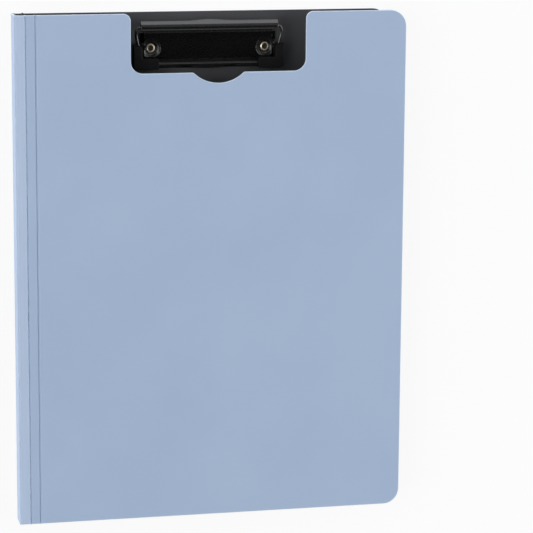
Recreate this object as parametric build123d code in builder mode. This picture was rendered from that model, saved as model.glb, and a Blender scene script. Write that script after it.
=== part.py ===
"""Clipboard folder: two stiff covers on a creased spine, with a low spring clip inside each cover.

The folder is closed and lies on its back cover. X runs from the spine to the free edge, Y runs up the
page to the top clip, Z is up, and the origin is under the middle of the closed folder. Millimetres.
"""

import math
import os

from build123d import *

# Closed folder
HEIGHT = 315.0
FRONT_WIDTH = 242.5
BACK_WIDTH = 234.0
THICKNESS = 14.0
COVER_CORNER = 10.0

# Sheet: an outer skin welded to an inner lining
SKIN = 1.2
LINING = 0.8
SHEET = SKIN + LINING

# Widths of the narrow strips beside the spine, from crease to crease
BACK_STRIP = 5.8
FRONT_INNER_STRIP = 5.8
FRONT_OUTER_STRIP = 5.9

# Round creases, and the hollows that the sheets leave round them
CREASE_RADIUS = 0.95
FLAT_HOLLOW = 1.1
CORNER_SKIN_HOLLOW = 1.3
CORNER_LINING_HOLLOW = 1.64

# Window in the front cover over the top clip, and its thumb notch
WINDOW_LEFT = 70.5
WINDOW_RIGHT = 179.1
WINDOW_DEPTH = 36.3
WINDOW_OUTER_CORNER = 4.4
WINDOW_INNER_CORNER = 7.3
NOTCH_WIDTH = 31.5
NOTCH_DEPTH = 6.5
NOTCH_SHOULDER = 1.5

# Places of the two clips: the rear edge of each lever bar from the cover's edge
TOP_CLIP_CENTRE = 120.0
TOP_CLIP_EDGE = 5.4
SIDE_CLIP_EDGE = 10.4
SIDE_CLIP_DROP = 1.7

# Clip, in its own frame: u across, v from the lever bar to the jaw, w up from the cover
STEEL = 0.8
DECK_REAR = 6.6
DECK_FRONT = 23.6
DECK_END = 40.4
DECK_SHOULDER = 2.4
DECK_CREST = 3.4
DECK_SLOPE = 0.7
DECK_BEND = 1.1
DECK_NOTCH_U = 30.3
DECK_NOTCH_V = 22.6
FOOT_END = 42.2
FOOT_REAR = 7.0
FOOT_FRONT = 12.4

PIVOT_V = 15.2
PIVOT_W = 4.0
PIN_RADIUS = 1.0
PIN_HOLE = 1.05
EAR_RADIUS = 2.4

RIVET_PITCH = 71.0
RIVET_V = 16.6
WELL_FLOOR_RADIUS = 3.4
WELL_TOP_RADIUS = 4.7
RIVET_HEAD_RADIUS = 2.75
RIVET_HEAD = 0.7
RIVET_HEAD_ROUNDING = 0.45
RIVET_SHANK = 1.9
RIVET_HOLE = 1.95
RIVET_BORE = 1.6
RIVET_FLANGE_RADIUS = 3.5
RIVET_FLANGE = 0.45
RECESS_RADIUS = 3.6
RECESS = 0.5

ROLL_V = 3.85
ROLL_W = 6.4
ROLL_RADIUS = 2.1
ROLL_BORE = 1.1
ROLL_HALF = 42.4
FLANGE_LOW = 6.9
THUMB_TAB_HALF = 12.0
THUMB_TAB_REACH = 0.8

BAIL_END_U = 39.1
BAIL_FOOT_U = 43.6
BAIL_BOW_U = 45.4
BAIL_BOW_S = 3.8
BAIL_SHOULDER_U = 44.3
BAIL_BENDS = (1.5, 7.0, 1.8, 1.8, 7.0, 1.5)

ARM_INNER = 40.6
ARM_OUTER = 41.4
ARM_REAR_V = PIVOT_V - 1.9
ARM_LOW = 2.6
ARM_REAR_TOP = 5.4
ARM_CREST_V = PIVOT_V + 1.8
ARM_CREST = 5.6
LIP_LOW = 1.0
LIP_TOP = 3.8
LIP_REAR = 24.4
LIP_CREST = 26.0
LIP_FRONT = 28.8
WAVE_HALF = 15.5
WAVE_REACH = 0.5

GRIP_INNER = 31.0
GRIP_OUTER = 46.6
GRIP_REAR = 14.0
GRIP_FOOT_REAR = 22.95
GRIP_FRONT = 29.5
GRIP_LOW = 0.3
GRIP_TOP = 6.0
GRIP_REAR_LOW = 0.9
GRIP_SOLE_V = 19.0
GRIP_SLOPE_V = 20.0
GRIP_NOSE_TOP = 4.8
GRIP_CORNER = 2.2
GRIP_ROUNDING = 0.7

# How far a cut reaches past what it cuts, and how near two places count as one
SPARE = 1.0
NEAR = 0.01

# Derived places
SPINE_X = -FRONT_WIDTH / 2
FREE_X = FRONT_WIDTH / 2
TOP_Y = HEIGHT / 2
BACK_MID = SHEET / 2
FRONT_MID = THICKNESS - SHEET / 2
SPINE_MID = SPINE_X + SHEET / 2
BACK_CREASE_X = SPINE_MID + BACK_STRIP
FRONT_INNER_CREASE_X = SPINE_MID + FRONT_INNER_STRIP
FRONT_OUTER_CREASE_X = FRONT_INNER_CREASE_X + FRONT_OUTER_STRIP
WINDOW_Y = TOP_Y - WINDOW_DEPTH
WELL_PLACES = [(side * RIVET_PITCH / 2, RIVET_V) for side in (-1, 1)]

# Crease axes, all along Y, as (x, z)
BACK_CREASE = (BACK_CREASE_X, BACK_MID)
SPINE_BACK_CREASE = (SPINE_MID, BACK_MID)
SPINE_FRONT_CREASE = (SPINE_MID, FRONT_MID)
FRONT_INNER_CREASE = (FRONT_INNER_CREASE_X, FRONT_MID)
FRONT_OUTER_CREASE = (FRONT_OUTER_CREASE_X, FRONT_MID)

# Clip frames: local X is u, local Y is v and local Z is w, from the lining's face
TOP_CLIP = Plane(
    origin=(SPINE_X + TOP_CLIP_CENTRE, TOP_Y - TOP_CLIP_EDGE, SHEET),
    x_dir=(-1, 0, 0),
    z_dir=(0, 0, 1),
)
SIDE_CLIP = Plane(
    origin=(FREE_X - SIDE_CLIP_EDGE, -SIDE_CLIP_DROP, THICKNESS - SHEET),
    x_dir=(0, -1, 0),
    z_dir=(0, 0, -1),
)


def save(part, name):
    """Labels a finished piece and writes it under its own name."""
    part.label = name
    export_step(part, "parts/" + name + ".step")


def hollow_round(crease, radius):
    """Hollows the current part round a crease's axis."""
    crease_x, crease_z = crease
    with Locations((crease_x, 0, crease_z)):
        Cylinder(radius, HEIGHT + 2 * SPARE, rotation=(90, 0, 0), mode=Mode.SUBTRACT)


def rivet_points(clip):
    """The two rivet axes of a clip, as points on its cover."""
    return [clip.from_local_coords((u, v, 0)) for u, v in WELL_PLACES]


def drill(points, z_low, depth, radius):
    """Cuts round holes up from z_low through the current part."""
    with Locations(*[(point.X, point.Y, z_low) for point in points]):
        Cylinder(radius, depth, align=(Align.CENTER, Align.CENTER, Align.MIN), mode=Mode.SUBTRACT)


def sill_corners():
    """Corners of the current outline along the window's sill, from the spine outwards."""
    return vertices().filter_by_position(Axis.Y, WINDOW_Y - NEAR, WINDOW_Y + NEAR).sort_by(Axis.X)


def cut_window():
    """Cuts the clip window and its thumb notch out of the current outline, with rounded corners."""
    left = SPINE_X + WINDOW_LEFT
    right = SPINE_X + WINDOW_RIGHT
    middle = (left + right) / 2
    notch_radius = ((NOTCH_WIDTH / 2) ** 2 + NOTCH_DEPTH**2) / (2 * NOTCH_DEPTH)
    with Locations((middle, TOP_Y - WINDOW_DEPTH / 2)):
        Rectangle(right - left, WINDOW_DEPTH, mode=Mode.SUBTRACT)
    with Locations((middle, WINDOW_Y - NOTCH_DEPTH + notch_radius)):
        Circle(notch_radius, mode=Mode.SUBTRACT)
    mouth = vertices().filter_by_position(Axis.X, left - NEAR, right + NEAR).group_by(Axis.Y)[-1]
    fillet(mouth, WINDOW_OUTER_CORNER)
    fillet(sill_corners()[1:3], NOTCH_SHOULDER)
    fillet([sill_corners()[0], sill_corners()[-1]], WINDOW_INNER_CORNER)


def cover_layer(crease, width, z_low, thickness, window, holes):
    """One layer of a cover, from its crease to its rounded free edge.

    Its round holes are given as their points, low end, depth and radius.
    """
    crease_x = crease[0]
    free_x = SPINE_X + width
    with BuildPart() as layer:
        with BuildSketch(Plane.XY.offset(z_low)):
            with Locations(((crease_x + free_x) / 2, 0)):
                Rectangle(free_x - crease_x, HEIGHT)
            fillet(vertices().group_by(Axis.X)[-1], COVER_CORNER)
            if window:
                cut_window()
        extrude(amount=thickness)
        hollow_round(crease, FLAT_HOLLOW)
        drill(*holes)
    return layer


def strip_layer(corners, hollows):
    """One layer of a strip of the spine, between two opposite corners given as (x, z)."""
    (x_low, z_low), (x_high, z_high) = corners
    with BuildPart() as layer:
        with Locations(((x_low + x_high) / 2, 0, (z_low + z_high) / 2)):
            Box(x_high - x_low, HEIGHT, z_high - z_low)
        for crease, radius in hollows:
            hollow_round(crease, radius)
    return layer


def crease_web(crease):
    """The rounded fold of the sheet on one crease's axis."""
    crease_x, crease_z = crease
    with BuildPart() as web:
        with Locations((crease_x, 0, crease_z)):
            Cylinder(CREASE_RADIUS, HEIGHT, rotation=(90, 0, 0))
    return web


def deck_outline(inset):
    """Side outline of the raised deck, set in by the thickness of the steel for its underside."""
    rear = DECK_REAR + inset
    front = DECK_FRONT - inset
    rear_shoulder = (rear + DECK_SLOPE, DECK_SHOULDER - inset)
    front_shoulder = (front - DECK_SLOPE, DECK_SHOULDER - inset)
    ThreePointArc(rear_shoulder, ((rear + front) / 2, DECK_CREST - inset), front_shoulder)
    Polyline(front_shoulder, (front, 0), (rear, 0), rear_shoulder)


def deck_block(inset, well_base):
    """Deck set in by an amount, its front corners cut back round the grips, less its two round wells."""
    notch_u = DECK_NOTCH_U - inset
    notch_v = DECK_NOTCH_V - inset
    with BuildPart() as block:
        with BuildSketch(Plane.YZ):
            with BuildLine():
                deck_outline(inset)
            make_face()
            fillet(vertices().group_by(Axis.Y)[-1], DECK_BEND - inset)
        extrude(amount=DECK_END - inset, both=True)
        for side in (-1, 1):
            with Locations((side * notch_u, notch_v, 0)):
                Box(
                    DECK_END,
                    DECK_FRONT,
                    2 * (DECK_CREST + SPARE),
                    align=(Align.MIN if side > 0 else Align.MAX, Align.MIN, Align.CENTER),
                    mode=Mode.SUBTRACT,
                )
        with Locations(*[(u, v, well_base) for u, v in WELL_PLACES]):
            Cone(
                WELL_FLOOR_RADIUS + inset,
                WELL_TOP_RADIUS + inset,
                DECK_CREST - STEEL,
                align=(Align.CENTER, Align.CENTER, Align.MIN),
                mode=Mode.SUBTRACT,
            )
    return block


def lip_outline():
    """Outline of the jaw lip's foot. Its front edge is straight, with one smooth wave in the middle."""
    half_wave = WAVE_HALF / 2
    wave_front = LIP_FRONT + WAVE_REACH
    Line((-ARM_OUTER, LIP_FRONT), (-WAVE_HALF, LIP_FRONT))
    Bezier((-WAVE_HALF, LIP_FRONT), (-half_wave, LIP_FRONT), (-half_wave, wave_front), (0, wave_front))
    Bezier((0, wave_front), (half_wave, wave_front), (half_wave, LIP_FRONT), (WAVE_HALF, LIP_FRONT))
    Line((WAVE_HALF, LIP_FRONT), (ARM_OUTER, LIP_FRONT))
    Polyline((ARM_OUTER, LIP_FRONT), (ARM_OUTER, LIP_REAR), (-ARM_OUTER, LIP_REAR), (-ARM_OUTER, LIP_FRONT))


def bail_wire(radius):
    """The spring wire, or a larger one to cut its channel with."""
    drop = math.atan2(ROLL_W - PIVOT_W, PIVOT_V - ROLL_V)
    reach = math.hypot(PIVOT_V - ROLL_V, ROLL_W - PIVOT_W)
    bail_plane = Plane(
        origin=(0, ROLL_V, ROLL_W),
        x_dir=(1, 0, 0),
        z_dir=(0, math.sin(drop), math.cos(drop)),
    )
    right_side = [
        (BAIL_SHOULDER_U, 0),
        (BAIL_BOW_U, BAIL_BOW_S),
        (BAIL_FOOT_U, reach),
        (BAIL_END_U, reach),
    ]
    left_side = [(-u, s) for u, s in reversed(right_side)]
    with BuildPart() as wire:
        with BuildLine(bail_plane) as path:
            FilletPolyline(*left_side, *right_side, radius=BAIL_BENDS)
        with BuildSketch(Plane(origin=path.line @ 0, z_dir=path.line % 0)):
            Circle(radius)
        sweep()
    return wire


def corner_grip(side):
    """Moulded corner grip over one end of the jaw plate, on the side given by its sign."""
    with BuildPart() as grip:
        with BuildSketch(Plane.YZ.offset(side * GRIP_INNER)):
            with BuildLine():
                Polyline(
                    (GRIP_REAR, GRIP_REAR_LOW),
                    (GRIP_REAR, GRIP_TOP),
                    (GRIP_SLOPE_V, GRIP_TOP),
                    (GRIP_FRONT, GRIP_NOSE_TOP),
                    (GRIP_FRONT, GRIP_LOW),
                    (GRIP_SOLE_V, GRIP_LOW),
                    (GRIP_REAR, GRIP_REAR_LOW),
                )
            make_face()
        extrude(amount=side * (GRIP_OUTER - GRIP_INNER))
        with Locations((side * GRIP_INNER, GRIP_FOOT_REAR, 0)):
            Box(
                ARM_OUTER - GRIP_INNER,
                GRIP_FRONT,
                2 * (GRIP_TOP + SPARE),
                align=(Align.MIN if side > 0 else Align.MAX, Align.MAX, Align.CENTER),
                mode=Mode.SUBTRACT,
            )
        outer = edges().filter_by(Axis.Z).group_by(Axis.X)[-1 if side > 0 else 0]
        fillet(outer.group_by(Axis.Y)[-1], GRIP_CORNER)
        upper = faces().filter_by(lambda face: face.normal_at().Z > 0.5).edges()
        fillet(upper, GRIP_ROUNDING)
        add(jaw_plate.part, mode=Mode.SUBTRACT)
        add(bail_channel.part, mode=Mode.SUBTRACT)
    return grip


os.makedirs("parts", exist_ok=True)

# Folding cover: each clip is riveted to the lining, and the skin has recesses over the rivets' flanges
top_rivets = rivet_points(TOP_CLIP)
side_rivets = rivet_points(SIDE_CLIP)

back_cover_skin = cover_layer(
    BACK_CREASE,
    BACK_WIDTH,
    0,
    SKIN,
    window=False,
    holes=(top_rivets, SKIN - RECESS, RECESS, RECESS_RADIUS),
)
back_cover_lining = cover_layer(
    BACK_CREASE,
    BACK_WIDTH,
    SKIN,
    LINING,
    window=False,
    holes=(top_rivets, SKIN, LINING, RIVET_HOLE),
)
front_cover_skin = cover_layer(
    FRONT_OUTER_CREASE,
    FRONT_WIDTH,
    THICKNESS - SKIN,
    SKIN,
    window=True,
    holes=(side_rivets, THICKNESS - SKIN, RECESS, RECESS_RADIUS),
)
front_cover_lining = cover_layer(
    FRONT_OUTER_CREASE,
    FRONT_WIDTH,
    THICKNESS - SHEET,
    LINING,
    window=True,
    holes=(side_rivets, THICKNESS - SHEET, LINING, RIVET_HOLE),
)
save(back_cover_skin.part, "back_cover_skin")
save(back_cover_lining.part, "back_cover_lining")
save(front_cover_skin.part, "front_cover_skin")
save(front_cover_lining.part, "front_cover_lining")

# Each strip has a skin and a lining, between the corners (x, z) given for them
back_strip_ends = (SPINE_BACK_CREASE, CORNER_SKIN_HOLLOW), (BACK_CREASE, FLAT_HOLLOW)
back_strip_lining_ends = (SPINE_BACK_CREASE, CORNER_LINING_HOLLOW), (BACK_CREASE, FLAT_HOLLOW)
spine_ends = (SPINE_BACK_CREASE, CORNER_SKIN_HOLLOW), (SPINE_FRONT_CREASE, CORNER_SKIN_HOLLOW)
spine_lining_ends = (SPINE_BACK_CREASE, CORNER_LINING_HOLLOW), (SPINE_FRONT_CREASE, CORNER_LINING_HOLLOW)
inner_strip_ends = (SPINE_FRONT_CREASE, CORNER_SKIN_HOLLOW), (FRONT_INNER_CREASE, FLAT_HOLLOW)
inner_strip_lining_ends = (SPINE_FRONT_CREASE, CORNER_LINING_HOLLOW), (FRONT_INNER_CREASE, FLAT_HOLLOW)
outer_strip_ends = (FRONT_INNER_CREASE, FLAT_HOLLOW), (FRONT_OUTER_CREASE, FLAT_HOLLOW)

strips = {
    "back_hinge_strip_skin": (
        ((SPINE_MID, 0), (BACK_CREASE_X, SKIN)),
        back_strip_ends,
    ),
    "back_hinge_strip_lining": (
        ((SPINE_MID, SKIN), (BACK_CREASE_X, SHEET)),
        back_strip_lining_ends,
    ),
    "spine_skin": (
        ((SPINE_X, BACK_MID), (SPINE_X + SKIN, FRONT_MID)),
        spine_ends,
    ),
    "spine_lining": (
        ((SPINE_X + SKIN, BACK_MID), (SPINE_X + SHEET, FRONT_MID)),
        spine_lining_ends,
    ),
    "front_inner_strip_skin": (
        ((SPINE_MID, THICKNESS - SKIN), (FRONT_INNER_CREASE_X, THICKNESS)),
        inner_strip_ends,
    ),
    "front_inner_strip_lining": (
        ((SPINE_MID, THICKNESS - SHEET), (FRONT_INNER_CREASE_X, THICKNESS - SKIN)),
        inner_strip_lining_ends,
    ),
    "front_outer_strip_skin": (
        ((FRONT_INNER_CREASE_X, THICKNESS - SKIN), (FRONT_OUTER_CREASE_X, THICKNESS)),
        outer_strip_ends,
    ),
    "front_outer_strip_lining": (
        ((FRONT_INNER_CREASE_X, THICKNESS - SHEET), (FRONT_OUTER_CREASE_X, THICKNESS - SKIN)),
        outer_strip_ends,
    ),
}
for strip_name, (strip_corners, strip_hollows) in strips.items():
    save(strip_layer(strip_corners, strip_hollows).part, strip_name)

creases = {
    "back_cover_crease": BACK_CREASE,
    "spine_back_crease": SPINE_BACK_CREASE,
    "spine_front_crease": SPINE_FRONT_CREASE,
    "front_inner_crease": FRONT_INNER_CREASE,
    "front_outer_crease": FRONT_OUTER_CREASE,
}
for crease_name, crease_axis in creases.items():
    save(crease_web(crease_axis).part, crease_name)

# Clip pieces, each made once in the clip's own frame
deck = deck_block(0, STEEL)
underside = deck_block(STEEL, 0)

with BuildPart() as base_plate:
    add(deck.part)
    add(underside.part, mode=Mode.SUBTRACT)
    for side in (-1, 1):
        with BuildSketch(Plane.YZ.offset(side * DECK_END)):
            with Locations((PIVOT_V, PIVOT_W)):
                Circle(EAR_RADIUS)
            with Locations((PIVOT_V, 0)):
                Rectangle(2 * EAR_RADIUS, PIVOT_W, align=(Align.CENTER, Align.MIN))
        extrude(amount=-side * STEEL)
        with Locations((side * (DECK_END - STEEL), FOOT_REAR, 0)):
            Box(
                FOOT_END - DECK_END + STEEL,
                FOOT_FRONT - FOOT_REAR,
                STEEL,
                align=(Align.MIN if side > 0 else Align.MAX, Align.MIN, Align.MIN),
            )
    with Locations(*[(side * DECK_END, PIVOT_V, PIVOT_W) for side in (-1, 1)]):
        Cylinder(PIN_HOLE, 2 * (STEEL + SPARE), rotation=(0, 90, 0), mode=Mode.SUBTRACT)
    with Locations(*[(u, v, STEEL / 2) for u, v in WELL_PLACES]):
        Cylinder(RIVET_HOLE, 2 * STEEL, mode=Mode.SUBTRACT)

with BuildPart() as lever_bar:
    with BuildSketch(Plane.YZ):
        with Locations((ROLL_V, ROLL_W)):
            Circle(ROLL_RADIUS)
        with Locations((0, FLANGE_LOW)):
            Rectangle(ROLL_V, STEEL, align=(Align.MIN, Align.MIN))
        with Locations((ROLL_V, ROLL_W)):
            Circle(ROLL_BORE, mode=Mode.SUBTRACT)
    extrude(amount=ROLL_HALF, both=True)
    with BuildSketch(Plane.XY.offset(FLANGE_LOW)):
        with BuildLine():
            ThreePointArc((-THUMB_TAB_HALF, 0), (0, -THUMB_TAB_REACH), (THUMB_TAB_HALF, 0))
            Line((THUMB_TAB_HALF, 0), (-THUMB_TAB_HALF, 0))
        make_face()
    extrude(amount=STEEL)

spring_bail = bail_wire(PIN_RADIUS)
bail_channel = bail_wire(PIN_HOLE)

with BuildPart() as jaw_plate:
    with BuildSketch(Plane.XY.offset(LIP_LOW)):
        with BuildLine():
            lip_outline()
        make_face()
    extrude(amount=STEEL)
    with Locations((0, LIP_CREST, LIP_LOW)):
        Box(2 * ARM_OUTER, STEEL, LIP_TOP - LIP_LOW, align=(Align.CENTER, Align.MIN, Align.MIN))
    for side in (-1, 1):
        with BuildSketch(Plane.YZ.offset(side * ARM_OUTER)):
            with BuildLine():
                Polyline(
                    (ARM_REAR_V, ARM_LOW),
                    (ARM_REAR_V, ARM_REAR_TOP),
                    (ARM_CREST_V, ARM_CREST),
                    (LIP_FRONT, LIP_TOP),
                    (LIP_FRONT, LIP_LOW),
                    (LIP_REAR, LIP_LOW),
                    (ARM_REAR_V, ARM_LOW),
                )
            make_face()
            with Locations((PIVOT_V, PIVOT_W)):
                Circle(PIN_HOLE, mode=Mode.SUBTRACT)
        extrude(amount=side * (ARM_INNER - ARM_OUTER))

corner_grip_left = corner_grip(-1)
corner_grip_right = corner_grip(1)

# Tubular rivets: a flange under the lining, and a rolled head on the floor of each well
with BuildPart() as rivets:
    with Locations(*[(u, v, -LINING - RIVET_FLANGE) for u, v in WELL_PLACES]):
        Cylinder(
            RIVET_FLANGE_RADIUS,
            RIVET_FLANGE,
            align=(Align.CENTER, Align.CENTER, Align.MIN),
        )
    with Locations(*[(u, v, -LINING) for u, v in WELL_PLACES]):
        Cylinder(
            RIVET_SHANK,
            LINING + STEEL,
            align=(Align.CENTER, Align.CENTER, Align.MIN),
        )
    with Locations(*[(u, v, STEEL) for u, v in WELL_PLACES]):
        Cylinder(
            RIVET_HEAD_RADIUS,
            RIVET_HEAD,
            align=(Align.CENTER, Align.CENTER, Align.MIN),
        )
    head_rims = edges().filter_by(GeomType.CIRCLE).group_by(Axis.Z)[-1]
    fillet(head_rims, RIVET_HEAD_ROUNDING)
    with Locations(*[(u, v, STEEL + RIVET_HEAD) for u, v in WELL_PLACES]):
        Cylinder(
            RIVET_BORE,
            LINING + STEEL + RIVET_HEAD,
            align=(Align.CENTER, Align.CENTER, Align.MAX),
            mode=Mode.SUBTRACT,
        )

clip_pieces = {
    "base_plate": base_plate,
    "lever_bar": lever_bar,
    "spring_bail": spring_bail,
    "jaw_plate": jaw_plate,
    "corner_grip_left": corner_grip_left,
    "corner_grip_right": corner_grip_right,
    "rivets": rivets,
}
for clip_name, clip_plane in (("top_clip", TOP_CLIP), ("side_clip", SIDE_CLIP)):
    for piece_name, piece in clip_pieces.items():
        save(piece.part.moved(clip_plane.location), clip_name + "_" + piece_name)
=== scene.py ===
"""Clipboard folder, closed on its back cover, seen from above with its spine on the left."""

import math

import bmesh
import bpy
from mathutils import Euler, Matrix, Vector, noise


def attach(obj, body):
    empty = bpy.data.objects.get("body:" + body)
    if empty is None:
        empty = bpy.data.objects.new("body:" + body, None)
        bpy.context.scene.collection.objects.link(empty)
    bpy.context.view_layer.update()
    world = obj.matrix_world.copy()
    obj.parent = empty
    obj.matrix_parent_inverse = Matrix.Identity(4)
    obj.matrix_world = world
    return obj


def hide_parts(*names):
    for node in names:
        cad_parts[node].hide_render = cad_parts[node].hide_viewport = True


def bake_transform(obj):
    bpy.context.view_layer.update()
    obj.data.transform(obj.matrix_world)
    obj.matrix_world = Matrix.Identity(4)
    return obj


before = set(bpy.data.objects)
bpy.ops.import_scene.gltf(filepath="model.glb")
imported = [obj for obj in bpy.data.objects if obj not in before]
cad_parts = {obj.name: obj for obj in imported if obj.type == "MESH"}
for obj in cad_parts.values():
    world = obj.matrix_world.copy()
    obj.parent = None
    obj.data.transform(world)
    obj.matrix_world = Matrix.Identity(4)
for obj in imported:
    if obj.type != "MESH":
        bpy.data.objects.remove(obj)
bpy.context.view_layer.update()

MM = 0.001

# Folder, in millimetres
TOP_Y = 157.5
SPINE_X = -121.25
FREE_X = 121.25
BACK_FREE_X = 112.75
COVER_CORNER = 10.0
SKIN = 1.2
LINING = 0.8
FACE = 1.0
INTERFACE = -0.2
STRIP = 5.8
OUTER_STRIP = 5.9
SPINE_AXIS_X = -120.25
BACK_Z = 1.0
FRONT_Z = 13.0

# Window over the top clip
WINDOW_LEFT = 70.5
WINDOW_RIGHT = 179.1
WINDOW_DEPTH = 36.3
WINDOW_OUTER_CORNER = 4.4
WINDOW_INNER_CORNER = 7.3
NOTCH_WIDTH = 31.5
NOTCH_DEPTH = 6.5
NOTCH_SHOULDER = 1.5

# Cross-section of the creases
RIM = 0.35
BEAD_RADIUS = 0.8
BEAD_END = 1.7
CORNER_END = 2.9
DISH_START = 0.5
DISH_END = 4.9
DISH_DEPTH = 0.15
OUTER_DISH = 0.05
OUTER_DISH_HALF = 2.2
WELD_DEPTH = 0.55
WELD_HALF = 0.8
LINE_DEPTH = 0.5
LINE_HALF = 0.6
CRIMP_PITCH = 3.6
CRIMP_MARGIN = 0.45
CRIMP_CUTS = 350
SQUEEZE_REACH = 1.5
SQUEEZE_WIDTH = 0.55
SHEET_SHARP = 50


def arc(centre, radius, start, end, steps):
    """Points on an arc between two angles in degrees."""
    points = []
    for step in range(steps + 1):
        angle = math.radians(start + (end - start) * step / steps)
        points.append((centre[0] + radius * math.cos(angle), centre[1] + radius * math.sin(angle)))
    return points


def smooth(value):
    """Smooth step from 0 to 1."""
    value = min(max(value, 0.0), 1.0)
    return value * value * (3 - 2 * value)


def look_up(table, key):
    """Straight-line value of a table of (key, value) rows."""
    if key <= table[0][0]:
        return table[0][1]
    for (low, low_value), (high, high_value) in zip(table, table[1:]):
        if key <= high:
            share = (key - low) / (high - low)
            return low_value + share * (high_value - low_value)
    return table[-1][1]


def to_object(bm, name, materials, sharp, place=None):
    """Turns a bmesh in millimetres into a smooth-shaded object in metres."""
    bmesh.ops.remove_doubles(bm, verts=bm.verts, dist=1e-5)
    bmesh.ops.recalc_face_normals(bm, faces=bm.faces)
    for vert in bm.verts:
        point = place(vert.co) if place else vert.co
        vert.co = Vector(point) * MM
    mesh = bpy.data.meshes.new(name)
    bm.to_mesh(mesh)
    bm.free()
    mesh.shade_smooth()
    mesh.set_sharp_from_angle(angle=math.radians(sharp))
    for material in materials:
        mesh.materials.append(material)
    obj = bpy.data.objects.new(name, mesh)
    bpy.context.scene.collection.objects.link(obj)
    weighted = obj.modifiers.new("even_shading", "WEIGHTED_NORMAL")
    weighted.keep_sharp = True
    return obj


# Materials
def node_material(name):
    """An empty material and its shader."""
    material = bpy.data.materials.new(name)
    material.use_nodes = True
    nodes = material.node_tree.nodes
    nodes.clear()
    output = nodes.new("ShaderNodeOutputMaterial")
    shader = nodes.new("ShaderNodeBsdfPrincipled")
    material.node_tree.links.new(shader.outputs["BSDF"], output.inputs["Surface"])
    return material, shader


def noise_node(tree, scale, detail):
    """Noise in the object's own coordinates, its scale in cycles per metre."""
    coordinates = tree.nodes.new("ShaderNodeTexCoord")
    texture = tree.nodes.new("ShaderNodeTexNoise")
    texture.inputs["Scale"].default_value = scale
    texture.inputs["Detail"].default_value = detail
    texture.inputs["Roughness"].default_value = 0.55
    tree.links.new(coordinates.outputs["Object"], texture.inputs["Vector"])
    return texture


def colour_between(tree, factor, dark, light, low=0.35, high=0.65):
    """Colour that runs from dark to light as the factor rises."""
    ramp = tree.nodes.new("ShaderNodeValToRGB")
    ramp.color_ramp.elements[0].position = low
    ramp.color_ramp.elements[0].color = (*dark, 1)
    ramp.color_ramp.elements[1].position = high
    ramp.color_ramp.elements[1].color = (*light, 1)
    tree.links.new(factor, ramp.inputs["Fac"])
    return ramp.outputs["Color"]


def value_between(tree, factor, low, high, start=0.3, end=0.7):
    """Value that runs from low to high as the factor goes from start to end."""
    ranged = tree.nodes.new("ShaderNodeMapRange")
    ranged.inputs["From Min"].default_value = start
    ranged.inputs["From Max"].default_value = end
    ranged.inputs["To Min"].default_value = low
    ranged.inputs["To Max"].default_value = high
    tree.links.new(factor, ranged.inputs["Value"])
    return ranged.outputs["Result"]


def math_node(tree, operation, first, second):
    """Works on two values, each a socket or a number."""
    node = tree.nodes.new("ShaderNodeMath")
    node.operation = operation
    for socket, value in zip(node.inputs, (first, second)):
        if isinstance(value, float):
            socket.default_value = value
        else:
            tree.links.new(value, socket)
    return node.outputs["Value"]


def grain(tree, shader, scale, height):
    """Fine bump all over the surface, its height in metres."""
    texture = noise_node(tree, scale, 4.0)
    bump = tree.nodes.new("ShaderNodeBump")
    bump.inputs["Strength"].default_value = 1.0
    bump.inputs["Distance"].default_value = height
    tree.links.new(texture.outputs["Fac"], bump.inputs["Height"])
    tree.links.new(bump.outputs["Normal"], shader.inputs["Normal"])
    return texture


def surface(name, dark, light, patch, roughness, grain_scale, grain_height, metallic=0.0, specular=0.5):
    """A material with patchy colour, uneven roughness and fine grain."""
    material, shader = node_material(name)
    tree = material.node_tree
    patches = noise_node(tree, patch, 3.0)
    colour = colour_between(tree, patches.outputs["Fac"], dark, light)
    tree.links.new(colour, shader.inputs["Base Color"])
    texture = grain(tree, shader, grain_scale, grain_height)
    uneven = value_between(tree, texture.outputs["Fac"], *roughness)
    tree.links.new(uneven, shader.inputs["Roughness"])
    shader.inputs["Metallic"].default_value = metallic
    shader.inputs["Specular IOR Level"].default_value = specular
    return material


COVER_BLUE = surface(
    "cover_blue",
    dark=(0.400, 0.505, 0.680),
    light=(0.420, 0.525, 0.700),
    patch=14.0,
    roughness=(0.55, 0.63),
    grain_scale=2600.0,
    grain_height=0.000012,
    specular=0.2,
)
# Painted light: a lighter copy of the cover blue on the spine and the strips beside it, standing in for the
# extra light these faces catch from the side
PAINTED_LIGHT_BLUE = surface(
    "painted_light_blue",
    dark=(0.475, 0.580, 0.755),
    light=(0.495, 0.600, 0.775),
    patch=14.0,
    roughness=(0.55, 0.63),
    grain_scale=2600.0,
    grain_height=0.000012,
    specular=0.2,
)
# Lighter blue on the rounded rims and cut walls of the skin: partly the whiter cut edge of the sheet, partly
# a painted highlight where the rims catch the light
CUT_EDGE_AND_HIGHLIGHT = surface(
    "cover_cut_edge_and_highlight",
    dark=(0.55, 0.65, 0.80),
    light=(0.62, 0.72, 0.85),
    patch=160.0,
    roughness=(0.45, 0.6),
    grain_scale=1800.0,
    grain_height=0.00002,
)
LINING_GREY = surface(
    "lining_grey",
    dark=(0.054, 0.055, 0.060),
    light=(0.062, 0.063, 0.068),
    patch=22.0,
    roughness=(0.52, 0.62),
    grain_scale=2200.0,
    grain_height=0.000018,
)
CLIP_STEEL = surface(
    "clip_steel",
    dark=(0.0014, 0.0014, 0.0017),
    light=(0.0020, 0.0020, 0.0023),
    patch=60.0,
    roughness=(0.26, 0.33),
    grain_scale=1500.0,
    grain_height=0.000004,
    specular=1.0,
)
DECK_STEEL = surface(
    "deck_steel",
    dark=(0.0022, 0.0022, 0.0025),
    light=(0.0030, 0.0030, 0.0033),
    patch=60.0,
    roughness=(0.24, 0.30),
    grain_scale=1500.0,
    grain_height=0.000004,
    specular=0.5,
)
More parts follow.
